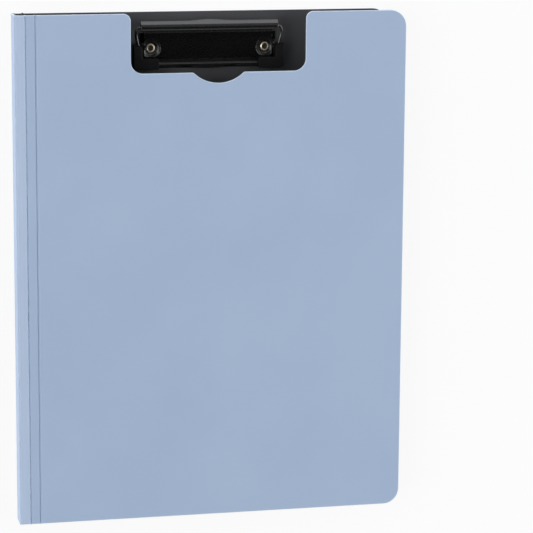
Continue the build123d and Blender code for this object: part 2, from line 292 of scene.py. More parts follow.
CLIP_WIRE = surface(
    "clip_wire",
    dark=(0.004, 0.004, 0.0045),
    light=(0.006, 0.006, 0.0065),
    patch=90.0,
    roughness=(0.18, 0.26),
    grain_scale=1500.0,
    grain_height=0.000003,
    specular=0.8,
)
GRIP_RUBBER = surface(
    "grip_rubber",
    dark=(0.0016, 0.0016, 0.0018),
    light=(0.0026, 0.0026, 0.0028),
    patch=120.0,
    roughness=(0.55, 0.68),
    grain_scale=2400.0,
    grain_height=0.00002,
    specular=0.2,
)
RIVET_BRASS = surface(
    "rivet_brass",
    dark=(0.92, 0.80, 0.56),
    light=(0.98, 0.90, 0.70),
    patch=700.0,
    roughness=(0.30, 0.40),
    grain_scale=2200.0,
    grain_height=0.000008,
    metallic=0.65,
)


# Flat slabs, cut along lines and then bent into the sheets of the cover
def prism(outline, height, wall_material):
    """Closed block on an outline, its bottom at 0."""
    bm = bmesh.new()
    low = [bm.verts.new((x, y, 0)) for x, y in outline]
    high = [bm.verts.new((x, y, height)) for x, y in outline]
    bm.faces.new(low)
    bm.faces.new(high)
    count = len(outline)
    for index in range(count):
        after = (index + 1) % count
        wall = bm.faces.new((low[index], low[after], high[after], high[index]))
        wall.material_index = wall_material
    bmesh.ops.recalc_face_normals(bm, faces=bm.faces)
    return bm


def slab(outline, thickness, rounded_z, seams):
    """Closed slab on an outline. One rim is rounded, but not along the seams, which are places of x."""
    # Walls and the rounded rim take the second material; on the skin that is the lighter cut-edge blue,
    # partly a painted highlight along the rims
    bm = prism(outline, thickness, 1)
    rims = []
    for edge in bm.edges:
        first, second = edge.verts
        on_rim = all(abs(vert.co.z - rounded_z) < 1e-6 for vert in edge.verts)
        on_seam = any(abs(first.co.x - x) < 1e-6 and abs(second.co.x - x) < 1e-6 for x in seams)
        if on_rim and not on_seam:
            rims.append(edge)
    bmesh.ops.bevel(
        bm,
        geom=rims,
        offset=RIM,
        offset_type="OFFSET",
        segments=3,
        profile=0.5,
        affect="EDGES",
        material=1,
    )
    return bm


def cut_along(bm, normal, places):
    """Cuts a mesh along parallel planes."""
    direction = Vector(normal)
    for place in places:
        bmesh.ops.bisect_plane(
            bm,
            geom=bm.verts[:] + bm.edges[:] + bm.faces[:],
            dist=1e-4,
            plane_co=direction * place,
            plane_no=direction,
        )


def window_edge(crease_x):
    """Window and thumb notch along the top edge, from the right to the left, as (s, y)."""
    left = SPINE_X + WINDOW_LEFT - crease_x
    right = SPINE_X + WINDOW_RIGHT - crease_x
    sill = TOP_Y - WINDOW_DEPTH
    middle = (left + right) / 2
    radius = ((NOTCH_WIDTH / 2) ** 2 + NOTCH_DEPTH**2) / (2 * NOTCH_DEPTH)
    notch = (middle, sill - NOTCH_DEPTH + radius)
    shoulder_y = sill - NOTCH_SHOULDER
    shoulder_s = math.sqrt((radius + NOTCH_SHOULDER) ** 2 - (notch[1] - shoulder_y) ** 2)
    tilt = math.degrees(math.atan2(notch[1] - shoulder_y, shoulder_s))
    outer = WINDOW_OUTER_CORNER
    inner = WINDOW_INNER_CORNER
    edge = arc((right + outer, TOP_Y - outer), outer, 90, 180, 8)
    edge += arc((right - inner, sill + inner), inner, 0, -90, 10)
    edge += arc((middle + shoulder_s, shoulder_y), NOTCH_SHOULDER, 90, 180 - tilt, 5)
    edge += arc(notch, radius, -tilt, tilt - 180, 24)[1:-1]
    edge += arc((middle - shoulder_s, shoulder_y), NOTCH_SHOULDER, tilt, 90, 5)
    edge += arc((left + inner, sill + inner), inner, -90, -180, 10)
    edge += arc((left - outer, TOP_Y - outer), outer, 0, 90, 8)
    return edge


def strip_outline(low, high):
    """Outline of a sheet that is as long as the folder, between two places across it."""
    return [(low, -TOP_Y), (high, -TOP_Y), (high, TOP_Y), (low, TOP_Y)]


def cover_outline(seam, free, window_x=None):
    """Outline of a cover from its seam to its rounded free edge, either way round."""
    way = 1 if free > seam else -1
    corner = free - way * COVER_CORNER
    points = [(seam, -TOP_Y)]
    if way > 0:
        points += arc((corner, COVER_CORNER - TOP_Y), COVER_CORNER, -90, 0, 12)
        points += arc((corner, TOP_Y - COVER_CORNER), COVER_CORNER, 0, 90, 12)
    else:
        points += arc((corner, COVER_CORNER - TOP_Y), COVER_CORNER, -90, -180, 12)
        points += arc((corner, TOP_Y - COVER_CORNER), COVER_CORNER, 180, 90, 12)
    if window_x is not None:
        points += window_edge(window_x)
    points.append((seam, TOP_Y))
    return points


def groove(s, half_width):
    """Cross-section of a pressed line, 1 at its middle."""
    share = min(abs(s) / half_width, 1.0)
    return (1 - share * share) ** 2


def pressed(s, half_width):
    """Cross-section of a pressed line with a flat bottom, 1 at its middle."""
    return 1 - smooth((abs(s) / half_width - 0.12) / 0.88)


def crimp(y):
    """How deep the welded line is pressed along its length, near 1."""
    wander = noise.noise(Vector((0.21 * y, 3.1, 0.0)))
    return 1 + 0.3 * math.sin(2 * math.pi * y / CRIMP_PITCH + 2.2 * wander) + 0.4 * wander


def hollow(place, middle, half_width, depth):
    """Depth of a broad shallow hollow at a place across it."""
    share = (place - middle) / half_width
    return depth * max(0.0, 1 - share * share)


def dish(along):
    """Hollow of the strip beside the spine, by the distance from the spine's axis."""
    middle = (DISH_START + DISH_END) / 2
    return hollow(along, middle, DISH_END - middle, DISH_DEPTH)


# Each layer runs between two of these faces: outside, interface and inside
def bead(s):
    """Outside of a corner of the spine, as (distance along the panel, height)."""
    size = abs(s)
    if size <= BEAD_END:
        turn = math.radians(45 * (1 - size / BEAD_END))
        centre = BEAD_RADIUS - FACE
        return centre - BEAD_RADIUS * math.sin(turn), BEAD_RADIUS * math.cos(turn) - centre
    centre = BEAD_RADIUS - FACE
    line = [(BEAD_END, centre), (1.8, 0.5), (1.9, 0.62), (2.05, 0.85), (2.3, 1.3), (CORNER_END, CORNER_END)]
    along = look_up(line, size) if size < CORNER_END else size
    return along, FACE


BEAD_LINE = [(0.30, 0.0), (0.42, 0.14), (0.55, 0.2), (0.8, 0.12), (1.4, 0.0)]
INNER_ALONG = [(0.0, 0.4), (0.23, 0.62), (0.53, 1.0), (0.83, 1.12), (1.13, 1.3), (CORNER_END, CORNER_END)]
INNER_HEIGHT = [(0.0, -0.4), (0.23, -0.5), (0.53, -0.86), (0.83, -0.97), (1.13, -1.0)]


def corner_outside(s, y, strip_side):
    """Outside of a corner of the spine, with a fine line and a hollow on its strip's side."""
    along, height = bead(s)
    if s * strip_side > 0:
        height -= look_up(BEAD_LINE, along) + dish(along)
    return along, height


def corner_interface(s, y, strip_side):
    """Where skin and lining meet round a corner of the spine."""
    size = abs(s)
    along = 0.2 + size * (CORNER_END - 0.2) / CORNER_END if size < CORNER_END else size
    return along, INTERFACE


def corner_inside(s, y, strip_side):
    """Inside of a corner of the spine, with a hollow on the spine's side."""
    size = abs(s)
    along = look_up(INNER_ALONG, size) if size < CORNER_END else size
    height = look_up(INNER_HEIGHT, size)
    if s * strip_side < 0:
        height -= hollow(along, 6.0, 4.5, 0.12)
    return along, height


def inner_fold_outside(s, y):
    """Outside across the welded line between the two front strips."""
    wander = 0.14 * noise.noise(Vector((0.55 * y, 0.0, 7.7)))
    height = FACE - WELD_DEPTH * crimp(y) * pressed(s - wander, WELD_HALF)
    if s < 0:
        return height - dish(STRIP + s)
    return height - hollow(s, OUTER_STRIP / 2, OUTER_DISH_HALF, OUTER_DISH)


def outer_fold_outside(s, y):
    """Outside across the fine pressed line beside the front cover."""
    height = FACE - LINE_DEPTH * pressed(s, LINE_HALF) + 0.1 * groove(s - 1.0, 0.5)
    if s < 0:
        height -= hollow(s, -OUTER_STRIP / 2, OUTER_DISH_HALF, OUTER_DISH)
    return height


def back_fold_outside(s, y):
    """Outside across the welded line between the back cover and its strip."""
    height = FACE - WELD_DEPTH * crimp(y + 40) * pressed(s, WELD_HALF)
    if s > 0:
        height -= dish(STRIP - s)
    return height


def flat_interface(s, y):
    """Where skin and lining meet across a flat crease."""
    return INTERFACE


def flat_inside(s, y):
    """Inside across a flat crease: a soft groove with low shoulders."""
    pressed_line = 0.36 * groove(s, 0.75)
    shoulder = 0.05 * groove(abs(s) - 1.1, 0.5)
    return -FACE + pressed_line - shoulder


FLAT_CUTS = [0, 0.1, 0.2, 0.3, 0.4, 0.5, 0.6, 0.75, 0.9, 1.1, 1.4, 1.7, 2.0, 2.4]
CORNER_CUTS = [0, 0.12, 0.23, 0.38, 0.53, 0.68, 0.83, 1.0, 1.13, 1.43]
CORNER_CUTS += [1.7, 1.8, 1.9, 2.05, 2.3, 2.6, 3.5, 4.5]


def flat_fold(s, point, spec):
    """Places a point of a sheet that crosses a flat crease, from its (s, height)."""
    x, z = spec["axis"]
    return x + spec["way"] * s, z + spec["out"] * point


def corner_fold(s, point, spec):
    """Places a point of a sheet that turns a corner of the spine."""
    along, height = point
    (x, z), before, after = spec["axis"], spec["before"], spec["after"]
    ahead, aside = (before, after) if s < 0 else (after, before)
    return x + ahead[0] * along - aside[0] * height, z + ahead[1] * along - aside[1] * height


def bent_sheet(name, spec, layer, materials):
    """One layer of the cover over one crease."""
    thickness = SKIN if layer == "skin" else LINING
    rounded = thickness if layer == "skin" else 0
    bm = slab(spec["outline"], thickness, rounded, spec["seams"])
    cuts = spec["cuts"]
    low = min(x for x, y in spec["outline"])
    high = max(x for x, y in spec["outline"])
    places = sorted({way * cut for cut in cuts for way in (-1, 1)})
    cut_along(bm, (1, 0, 0), [place for place in places if low < place < high])
    if layer == "skin":
        cut_along(bm, (0, 1, 0), spec.get("cross_cuts", []))
    # Faces on the spine and the strips beside it take the third material, a lighter blue that paints in the
    # light they catch from the side
    for face in bm.faces:
        if layer == "skin" and face.material_index == 0 and spec["painted_light"](face.calc_center_median().x):
            face.material_index = 2
    upper, lower = spec[layer]
    squeeze = 0.2 if layer == "skin" else 0.45
    for vert in bm.verts:
        s, y, z = vert.co
        share = z / thickness
        if "before" in spec:
            high_point = corner_fold(s, upper(s, y, spec["strip_side"]), spec)
            low_point = corner_fold(s, lower(s, y, spec["strip_side"]), spec)
        else:
            high_point = flat_fold(s, upper(s, y), spec)
            low_point = flat_fold(s, lower(s, y), spec)
        x = low_point[0] + share * (high_point[0] - low_point[0])
        height = low_point[1] + share * (high_point[1] - low_point[1])
        near_end = smooth((abs(y) - TOP_Y + SQUEEZE_REACH) / SQUEEZE_REACH)
        pushed = 0.0
        for place, amount in spec["squeezes"]:
            pushed += amount * math.exp(-(((s - place) / SQUEEZE_WIDTH) ** 2))
        vert.co = (x, y + math.copysign(squeeze * near_end * pushed, y), height)
    return to_object(bm, name, materials, SHEET_SHARP)


def crimp_lines():
    """Places along the welded line where the sheet is cut, so that its crimps can be pressed."""
    length = 2 * TOP_Y - 2 * CRIMP_MARGIN
    return [-TOP_Y + CRIMP_MARGIN + step * length / CRIMP_CUTS for step in range(CRIMP_CUTS + 1)]


back_crease_x = SPINE_AXIS_X + STRIP
inner_crease_x = SPINE_AXIS_X + STRIP
outer_crease_x = inner_crease_x + OUTER_STRIP
half_strip = STRIP / 2
half_outer = OUTER_STRIP / 2
half_spine = (FRONT_Z - BACK_Z) / 2

# Each fold's lambda picks the faces that are painted lighter, as a stand-in for the light on the spine and
# the strips beside it
FOLDS = {
    "back_cover": {
        "axis": (back_crease_x, BACK_Z),
        "way": -1,
        "out": -1,
        "outline": cover_outline(half_strip, back_crease_x - BACK_FREE_X),
        "seams": [half_strip],
        "cuts": FLAT_CUTS,
        "skin": (back_fold_outside, flat_interface),
        "lining": (flat_interface, flat_inside),
        "painted_light": lambda s: s > 0,
        "squeezes": [(0, 1.0), (-OUTER_STRIP, 0.55)],
        "bodies": ("back_cover", "back_hinge_strip"),
        "nodes": {
            "skin": ["back_cover_skin", "back_cover_crease"],
            "lining": ["back_cover_lining"],
        },
    },
    "back_strip": {
        "axis": (SPINE_AXIS_X, BACK_Z),
        "before": (1, 0),
        "after": (0, 1),
        "strip_side": -1,
        "outline": strip_outline(-half_strip, half_spine),
        "seams": [-half_strip, half_spine],
        "cuts": CORNER_CUTS,
        "skin": (corner_outside, corner_interface),
        "lining": (corner_interface, corner_inside),
        "painted_light": lambda s: True,
        "squeezes": [(0, 0.6)],
        "bodies": ("back_hinge_strip", "spine"),
        "nodes": {
            "skin": ["back_hinge_strip_skin", "spine_back_crease"],
            "lining": ["back_hinge_strip_lining"],
        },
    },
    "spine": {
        "axis": (SPINE_AXIS_X, FRONT_Z),
        "before": (0, -1),
        "after": (1, 0),
        "strip_side": 1,
        "outline": strip_outline(-half_spine, half_strip),
        "seams": [-half_spine, half_strip],
        "cuts": CORNER_CUTS,
        "skin": (corner_outside, corner_interface),
        "lining": (corner_interface, corner_inside),
        "painted_light": lambda s: True,
        "squeezes": [(0, 0.6)],
        "bodies": ("spine", "front_inner_strip"),
        "nodes": {
            "skin": ["spine_skin", "spine_front_crease"],
            "lining": ["spine_lining"],
        },
    },
    "front_strips": {
        "axis": (inner_crease_x, FRONT_Z),
        "way": 1,
        "out": 1,
        "outline": strip_outline(-half_strip, half_outer),
        "seams": [-half_strip, half_outer],
        "cuts": FLAT_CUTS,
        "cross_cuts": crimp_lines(),
        "skin": (inner_fold_outside, flat_interface),
        "lining": (flat_interface, flat_inside),
        "painted_light": lambda s: s < 0,
        "squeezes": [(0, 1.0)],
        "bodies": ("front_inner_strip", "front_outer_strip"),
        "nodes": {
            "skin": ["front_inner_strip_skin", "front_outer_strip_skin", "front_inner_crease"],
            "lining": ["front_inner_strip_lining", "front_outer_strip_lining"],
        },
    },
    "front_cover": {
        "axis": (outer_crease_x, FRONT_Z),
        "way": 1,
        "out": 1,
        "outline": cover_outline(-half_outer, FREE_X - outer_crease_x, outer_crease_x),
        "seams": [-half_outer],
        "cuts": FLAT_CUTS,
        "skin": (outer_fold_outside, flat_interface),
        "lining": (flat_interface, flat_inside),
        "painted_light": lambda s: False,
        "squeezes": [(0, 0.8)],
        "bodies": ("front_outer_strip", "front_cover"),
        "nodes": {
            "skin": ["front_cover_skin", "front_outer_crease"],
            "lining": ["front_cover_lining"],
        },
    },
}


for fold_name, spec in FOLDS.items():
    for layer in ("skin", "lining"):
        # The skin's third material is a lighter blue, painted light on the spine and the strips beside it
        materials = [COVER_BLUE, CUT_EDGE_AND_HIGHLIGHT, PAINTED_LIGHT_BLUE] if layer == "skin" else [LINING_GREY, LINING_GREY]
        sheet = bent_sheet(fold_name + "_sheet_" + layer, spec, layer, materials)
        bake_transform(sheet)
        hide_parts(*spec["nodes"][layer])


# Clips: u runs across, v from the lever bar to the jaw, w up from the lining
CLIPS = {
    "top_clip": {"origin": (-1.25, 152.1, 2.0), "fixed": "back_cover", "rocker": "top_clip_rocker"},
    "side_clip": {"origin": (110.85, -1.7, 12.0), "fixed": "front_cover", "rocker": "side_clip_rocker"},
}

# Base plate, in millimetres
STEEL = 0.8
DECK_REAR = 6.6
DECK_FRONT = 23.6
DECK_END = 40.4
DECK_FOOT = 0.4
DECK_SHOULDER = 2.4
DECK_CREST = 3.4
DECK_SLOPE = 0.7
DECK_STEEPNESS = (DECK_SHOULDER - DECK_FOOT + 0.5) / DECK_SLOPE
DECK_SOFTNESS = 0.13
DECK_EDGE = 0.32
DECK_RIM = 1.2
DECK_NOTCH_U = 30.3
DECK_NOTCH_V = 22.6
FOOT_END = 42.2
FOOT_REAR = 7.0
FOOT_FRONT = 12.4
FOOT_ROUNDING = 0.2
LINING_GAP = 0.05

# Pins and rivets
PIVOT_V = 15.2
PIVOT_W = 4.0
PIN_RADIUS = 1.0
PIN_HOLE = 1.06
EAR_RADIUS = 2.4
RIVET_U = 35.5
RIVET_V = 16.6
RIVET_OPENING = 1.8
RIVET_SIDES = 40
WELL_FLOOR = 3.1
WELL_TOP = 5.9

# Lever bar
ROLL_V = 3.85
ROLL_W = 6.4
ROLL_RADIUS = 2.05
FLANGE_SLOPE = 0.735
ROLL_HALF = 42.4
ROLL_END = 0.3
ROLL_END_ROUNDING = 0.14
TAB_HALF = 14.0
TAB_REACH = 0.78

# Wire, with s running from the roll down to the pins
WIRE_SIDES = 16
BAIL_SHOULDER_U = 44.3
BAIL_BOW_U = 45.4
BAIL_BOW_S = 3.8
BAIL_FOOT_U = 43.6
BAIL_END_U = 39.1
BAIL_BENDS = (1.5, 7.0, 1.8, 1.8, 7.0, 1.5)

# Jaw
ARM_INNER = 40.6
ARM_OUTER = 41.4
ARM_REAR = PIVOT_V - 1.9
LIP_LOW = 1.0
LIP_CREST = 26.35
LIP_FRONT = 28.8
WAVE_HALF = 15.5
WAVE_END = 6.0

# Corner grips
GRIP_INNER = 31.0
GRIP_OUTER = 46.6
GRIP_FOOT = 41.4
GRIP_REAR = 14.0
GRIP_FOOT_REAR = 22.95
GRIP_FRONT = 29.5
GRIP_HEIGHT = 5.7
GRIP_EDGE = 0.42
GRIP_CREST = 6.0
GRIP_LEDGE = 15.0
GRIP_LEDGE_STEP = 0.4
GRIP_LEDGE_DROP = 1.0

# Parts of the clip's sections, as (v, w)
FLANGE_REAR_TOP = [(-0.25, 6.1), (-0.18, 6.23), (-0.04, 6.4146)]
FLANGE_TOP = [(0.6, 6.885), (1.2, 7.326), (1.5, 7.5465), (1.7, 7.685), (1.9, 7.785)]
FLANGE_UNDERSIDE = [(2.4, 7.1), (1.75, 6.8), (1.0, 6.25)]
FLANGE_REAR_LOW = [(0.15, 5.62), (-0.06, 5.55), (-0.22, 5.72)]
LIP_BACK = [(23.8, LIP_LOW), (23.8, 1.7), (23.9, 1.8), (25.45, 1.85), (25.65, 2.0), (25.85, 3.2)]
LIP_BACK += [(25.95, 3.5), (26.12, 3.7), (LIP_CREST, 3.78), (LIP_CREST + 0.2, 3.74)]
ARM_OUTLINE = [(ARM_REAR, 2.6), (24.4, LIP_LOW), (LIP_FRONT, LIP_LOW), (LIP_FRONT, 3.8)]
ARM_OUTLINE += [(PIVOT_V + 1.8, 5.6), (PIVOT_V - 1.5, 5.4), (ARM_REAR, 5.0)]

# Half section of a rivet, as (radius, w): flange, shank, rolled head and bore
RIVET_PROFILE = [(0.0, -1.25), (3.5, -1.25), (3.5, -0.82), (1.9, -0.82), (1.9, 0.82), (2.7, 0.82)]
RIVET_PROFILE += [(2.76, 0.88), (2.72, 0.97), (2.6, 1.06), (2.15, 1.35), (2.05, 1.4), (1.95, 1.4)]
RIVET_PROFILE += [(1.87, 1.34), (1.82, 1.2), (1.78, 0.4), (1.76, -0.55), (1.6, -0.65), (0.0, -0.68)]


def clip_place(clip):
    """Takes a point (u, v, w) of a clip to its place on the folder."""
    x, y, z = CLIPS[clip]["origin"]
    if clip == "top_clip":
        return lambda point: (x - point[0], y - point[1], z + point[2])
    return lambda point: (x - point[1], y - point[0], z - point[2])


def grid_shell(us, vs, keep, top, bottom):
    """Closed shell between two height fields, over the cells of a grid that are kept."""
    bm = bmesh.new()
    upper = {}
    lower = {}

    def corner(column, row):
        key = (column, row)
        if key not in upper:
            u, v = us[column], vs[row]
            upper[key] = bm.verts.new((u, v, top(u, v)))
            lower[key] = bm.verts.new((u, v, bottom(u, v)))
        return key

    def kept(column, row):
        if not (0 <= column < len(us) - 1 and 0 <= row < len(vs) - 1):
            return False
        return keep((us[column] + us[column + 1]) / 2, (vs[row] + vs[row + 1]) / 2)

    for column in range(len(us) - 1):
        for row in range(len(vs) - 1):
            if not kept(column, row):
                continue
            ring = [
                corner(column, row),
                corner(column + 1, row),
                corner(column + 1, row + 1),
                corner(column, row + 1),
            ]
            bm.faces.new([upper[key] for key in ring])
            bm.faces.new([lower[key] for key in reversed(ring)])
            beside = [(column, row - 1), (column + 1, row), (column, row + 1), (column - 1, row)]
            for side, neighbour in enumerate(beside):
                if not kept(*neighbour):
                    first, second = ring[side], ring[(side + 1) % 4]
                    bm.faces.new((upper[second], upper[first], lower[first], lower[second]))
    return bm


def spaced(low, high, step):
    """Even places from low to high, about a step apart."""
    count = max(1, round((high - low) / step))
    return [low + (high - low) * index / count for index in range(count + 1)]


def lofted(sections):
    """Closed body through rings with equal counts of points."""
    bm = bmesh.new()
    rings = [[bm.verts.new(point) for point in section] for section in sections]
    count = len(rings[0])
    for ring, following in zip(rings, rings[1:]):
        for index in range(count):
            after = (index + 1) % count
            bm.faces.new((ring[index], ring[after], following[after], following[index]))
    bm.faces.new(list(reversed(rings[0])))
    bm.faces.new(rings[-1])
    return bm


def side_plate(bm, outline, hole, first_u, last_u):
    """Adds an upright plate to a mesh, from its outline in (v, w), with a pin hole if its radius is given."""
    low_u, high_u = sorted((first_u, last_u))
    plate = bmesh.new()
    loops = [outline]
    if hole:
        loops.append(arc((PIVOT_V, PIVOT_W), hole, 0, 345, 23))
    edges = []
    for loop in loops:
        verts = [plate.verts.new((low_u, v, w)) for v, w in loop]
        for index, vert in enumerate(verts):
            edges.append(plate.edges.new((vert, verts[(index + 1) % len(verts)])))
    bmesh.ops.triangle_fill(plate, edges=edges, use_beauty=True, use_dissolve=False)
    faces = plate.faces[:]
    made = bmesh.ops.extrude_face_region(plate, geom=faces, use_keep_orig=True)
    moved = [item for item in made["geom"] if isinstance(item, bmesh.types.BMVert)]
    bmesh.ops.translate(plate, verts=moved, vec=(high_u - low_u, 0, 0))
    bmesh.ops.recalc_face_normals(plate, faces=plate.faces)
    mesh = bpy.data.meshes.new("plate")
    plate.to_mesh(mesh)
    plate.free()
    bm.from_mesh(mesh)
    bpy.data.meshes.remove(mesh)


def deck_top(u, v):
    """Height of the pressed deck: a shallow crown inside rounded shoulders, with two dished wells."""
    middle = (DECK_REAR + DECK_FRONT) / 2
    half = (DECK_FRONT - DECK_REAR) / 2
    crown_share = (v - middle) / (half - DECK_SLOPE)
    crown = DECK_CREST - (DECK_CREST - DECK_SHOULDER) * crown_share**2
    inside = min(v - DECK_REAR, DECK_FRONT - v, DECK_END - abs(u))
    beyond_u = abs(u) - DECK_NOTCH_U
    beyond_v = v - DECK_NOTCH_V
    if beyond_u > 0:
        inside = min(inside, -beyond_v)
    elif beyond_v > 0:
        inside = min(inside, -beyond_u)
    else:
        inside = min(inside, math.hypot(beyond_u, beyond_v))
    slope = DECK_FOOT + max(inside, 0.0) * DECK_STEEPNESS
    both = math.exp(-crown / DECK_SOFTNESS) + math.exp(-slope / DECK_SOFTNESS)
    height = max(-DECK_SOFTNESS * math.log(both), DECK_EDGE)
    distance = math.hypot(abs(u) - RIVET_U, v - RIVET_V)
    share = min(max((distance - WELL_FLOOR) / (WELL_TOP - WELL_FLOOR), 0.0), 1.0)
    share += 0.04 * math.sin(2 * math.pi * share)
    return STEEL + (height - STEEL) * share if height > STEEL else height


def deck_bottom(u, v):
    """Underside of the pressed deck."""
    return max(deck_top(u, v) - STEEL, 0.0)


def deck_kept(u, v):
    """Whether the deck is there: not in its front notches, nor where the rivets go through."""
    if abs(u) > DECK_NOTCH_U and v > DECK_NOTCH_V:
        return False
    return math.hypot(abs(u) - RIVET_U, v - RIVET_V) > RIVET_OPENING


def base_plate():
    """Pressed deck on a grid, finer at its edges and wells, with its two ears and two feet."""
    near = spaced(DECK_NOTCH_U, DECK_END - DECK_RIM, 0.24)
    rim = spaced(DECK_END - DECK_RIM, DECK_END, 0.12)[1:]
    half = spaced(0, 28.5, 2.2)[1:] + spaced(28.5, DECK_NOTCH_U, 0.3)[1:] + near[1:] + rim
    us = [-u for u in reversed(half)] + [0.0] + half
    rear = spaced(DECK_REAR, DECK_REAR + DECK_RIM, 0.1)
    middle = spaced(DECK_REAR + DECK_RIM, DECK_NOTCH_V, 0.24)[1:]
    front = spaced(DECK_NOTCH_V, DECK_FRONT - DECK_RIM, 0.12)[1:]
    front += spaced(DECK_FRONT - DECK_RIM, DECK_FRONT, 0.1)[1:]
    bm = grid_shell(us, rear + middle + front, deck_kept, deck_top, deck_bottom)
    ear = arc((PIVOT_V, PIVOT_W), EAR_RADIUS, 0, 180, 20)
    ear += [(PIVOT_V - EAR_RADIUS, LINING_GAP), (PIVOT_V + EAR_RADIUS, LINING_GAP)]
    foot = [(FOOT_REAR, LINING_GAP), (FOOT_FRONT, LINING_GAP), (FOOT_FRONT, STEEL - FOOT_ROUNDING)]
    foot += [(FOOT_FRONT - FOOT_ROUNDING, STEEL), (FOOT_REAR + FOOT_ROUNDING, STEEL)]
    foot += [(FOOT_REAR, STEEL - FOOT_ROUNDING)]
    for side in (-1, 1):
        side_plate(bm, ear, PIN_HOLE, side * (DECK_END - STEEL), side * DECK_END)
        side_plate(bm, foot, None, side * (DECK_END - FOOT_ROUNDING), side * FOOT_END)
    return bm


def tab_push(u):
    """How far the thumb tab pushes the rear edge of the lever bar back."""
    share = abs(u) / TAB_HALF
    return TAB_REACH * (1 - smooth(share)) if share < 1 else 0.0


def lever_section(u, shrink):
    """Section of the lever bar: a sloping flange, whose rear edge follows the thumb tab, and an open roll."""
    push = tab_push(u)

    def pushed(points):
        return [(v - push, w - FLANGE_SLOPE * push) for v, w in points]

    centre = (ROLL_V, ROLL_W)
    outside = arc(centre, ROLL_RADIUS - shrink, 117, -172, 44)
    inside = arc(centre, ROLL_RADIUS - STEEL + shrink, -172, 150, 40)
    section = pushed(FLANGE_REAR_TOP) + FLANGE_TOP + outside + inside
    section += FLANGE_UNDERSIDE + pushed(FLANGE_REAR_LOW)
    return [(u, v, w) for v, w in section]


def lever_bar():
    """Rolled lever bar, with its ends a little rounded and closer sections over the thumb tab."""
    us = [-ROLL_HALF, -ROLL_HALF + 0.12, -ROLL_HALF + 0.35]
    us += spaced(-30, -TAB_HALF - 1, 7)
    us += spaced(-TAB_HALF, TAB_HALF, 0.6)
    us += spaced(TAB_HALF + 1, 30, 7)
    us += [ROLL_HALF - 0.35, ROLL_HALF - 0.12, ROLL_HALF]
    sections = []
    for u in us:
        from_end = ROLL_HALF - abs(u)
        shrink = ROLL_END_ROUNDING * max(0.0, 1 - from_end / ROLL_END) ** 2
        sections.append(lever_section(u, shrink))
    return lofted(sections)


def rounded_path(points, radii, step=0.35):
    """Polyline with its corners rounded, as a dense list of points."""
    path = [Vector(points[0])]
    for index in range(1, len(points) - 1):
        corner = Vector(points[index])
        before = (Vector(points[index - 1]) - corner).normalized()
        after = (Vector(points[index + 1]) - corner).normalized()
        half_angle = before.angle(after) / 2
        radius = radii[index - 1]
        reach = radius / math.tan(half_angle)
        centre = corner + (before + after).normalized() * (radius / math.sin(half_angle))
        first = corner + before * reach
        last = corner + after * reach
        turn = math.pi - 2 * half_angle
        count = max(3, round(radius * turn / step))
        spoke = first - centre
        other = last - centre
        for part in range(count + 1):
            share = part / count
            blend = spoke * math.sin((1 - share) * turn) + other * math.sin(share * turn)
            path.append(centre + blend / math.sin(turn))
    path.append(Vector(points[-1]))
    return path


def spring_bail():
    """Bent wire: along the roll, out and down both sides, and in again as the two hinge pins."""
    reach = math.hypot(PIVOT_V - ROLL_V, ROLL_W - PIVOT_W)
    right = [(BAIL_SHOULDER_U, 0), (BAIL_BOW_U, BAIL_BOW_S), (BAIL_FOOT_U, reach), (BAIL_END_U, reach)]
    flat = [(-u, s, 0) for u, s in reversed(right)] + [(u, s, 0) for u, s in right]
    path = rounded_path(flat, BAIL_BENDS)
    along_v = (PIVOT_V - ROLL_V) / reach
    along_w = (PIVOT_W - ROLL_W) / reach
    up = Vector((0, -along_w, along_v))

    def lift(point):
        return Vector((point[0], ROLL_V + along_v * point[1], ROLL_W + along_w * point[1]))

    places = [lift(point) for point in path]
    sections = []
    for index, place in enumerate(places):
        behind = places[max(index - 1, 0)]
        ahead = places[min(index + 1, len(places) - 1)]
        forward = (ahead - behind).normalized()
        across = forward.cross(up).normalized()
        ring = []
        for part in range(WIRE_SIDES):
            angle = 2 * math.pi * part / WIRE_SIDES
            ring.append(place + PIN_RADIUS * (math.cos(angle) * across + math.sin(angle) * up))
        sections.append(ring)
    return lofted(sections)


def wave(u):
    """Finger wave of the jaw, 1 at its middle."""
    return 1 - smooth(abs(u) / WAVE_HALF)


def lip_bead(u):
    """How far the lip's front bead lies ahead of its crest: out at the ends and in the finger scallop."""
    ends = smooth((abs(u) - WAVE_HALF) / WAVE_END)
    return 0.35 + 1.0 * max(wave(u), ends)


def lip_section(u):
    """Section of the jaw's pressed lip: a sloping back, a straight crest, a waved bead and a steep front."""
    bead = LIP_CREST + lip_bead(u)
    dip = 0.5 * smooth((bead - LIP_CREST - 0.35) / 1.0)
    front = LIP_FRONT + 0.5 * wave(u)
    points = LIP_BACK + [
        ((LIP_CREST + bead) / 2 + 0.1, 3.6 - dip),
        (bead - 0.12, 3.48 - 0.6 * dip),
        (bead + 0.08, 3.5 - 0.6 * dip),
        (bead + 0.28, 3.3 - 0.6 * dip),
        (bead + 0.45, 2.7),
        (front - 0.25, 1.9),
        (front - 0.06, 1.6),
        (front, 1.3),
        (front - 0.12, LIP_LOW),
    ]
    return [(u, v, w) for v, w in points]


def jaw_plate():
    """Pressed lip, with closer sections over the finger wave, and its two side arms."""
    us = spaced(-ARM_OUTER, -WAVE_HALF - WAVE_END, 6)[:-1]
    us += spaced(-WAVE_HALF - WAVE_END, WAVE_HALF + WAVE_END, 0.6)
    us += spaced(WAVE_HALF + WAVE_END, ARM_OUTER, 6)[1:]
    bm = lofted([lip_section(u) for u in us])
    for side in (-1, 1):
        side_plate(bm, ARM_OUTLINE, PIN_HOLE, side * ARM_INNER, side * ARM_OUTER)
    return bm


